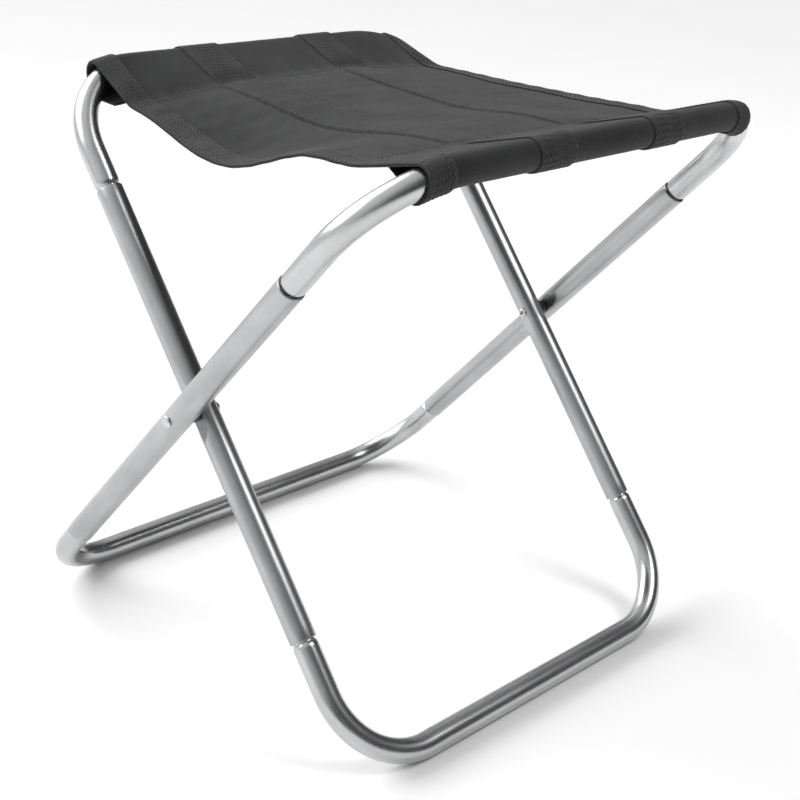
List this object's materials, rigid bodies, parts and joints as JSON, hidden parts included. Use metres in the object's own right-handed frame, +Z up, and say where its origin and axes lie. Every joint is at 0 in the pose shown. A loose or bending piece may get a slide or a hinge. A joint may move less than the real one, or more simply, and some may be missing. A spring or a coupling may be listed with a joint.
{
  "type": "folding camp stool",
  "caption": "Folding camp stool: two crossed aluminium tube frames riveted at mid-leg, with a dark woven sling seat hung between their upper bars.",
  "frame": {"origin": "on the floor, below the middle of the stool's bounding box", "axes": "+Z up; +Y along the pivot line and the seat bars; +X towards the outer frame's seat bar"},
  "size_m": [0.3184, 0.3424, 0.3626],
  "materials": {
    "leg_tube": "satin anodised",
    "bow_tube": "bright anodised",
    "rivet": "satin",
    "spacer": "matte nylon",
    "seat_cloth": "plain woven polyester",
    "strap_webbing": "coarse woven webbing"
  },
  "bodies": {
    "outer_frame": {"outer_top_bow": "bow_tube", "outer_bottom_bow": "bow_tube", "outer_leg_left": "leg_tube", "outer_leg_right": "leg_tube", "pivot_rivet_left": "rivet", "pivot_rivet_right": "rivet", "pivot_spacer_left": "spacer", "pivot_spacer_right": "spacer", "seat_panel": "seat_cloth", "seat_pocket_outer": "seat_cloth", "edge_strap_left": "strap_webbing", "middle_strap_left": "strap_webbing", "middle_strap_right": "strap_webbing", "edge_strap_right": "strap_webbing"},
    "inner_frame": {"inner_top_bow": "bow_tube", "inner_bottom_bow": "bow_tube", "inner_leg_left": "leg_tube", "inner_leg_right": "leg_tube", "seat_pocket_inner": "seat_cloth"}
  },
  "joints": [
    {"name": "fold", "type": "hinge", "parent": "outer_frame", "child": "inner_frame", "pos_m": [-0.00329, 0, 0.17716], "axis": [0, 1, 0], "range_deg": [0, 76], "deforming": ["seat_panel", "edge_strap_left", "middle_strap_left", "middle_strap_right", "edge_strap_right"]}
  ]
}
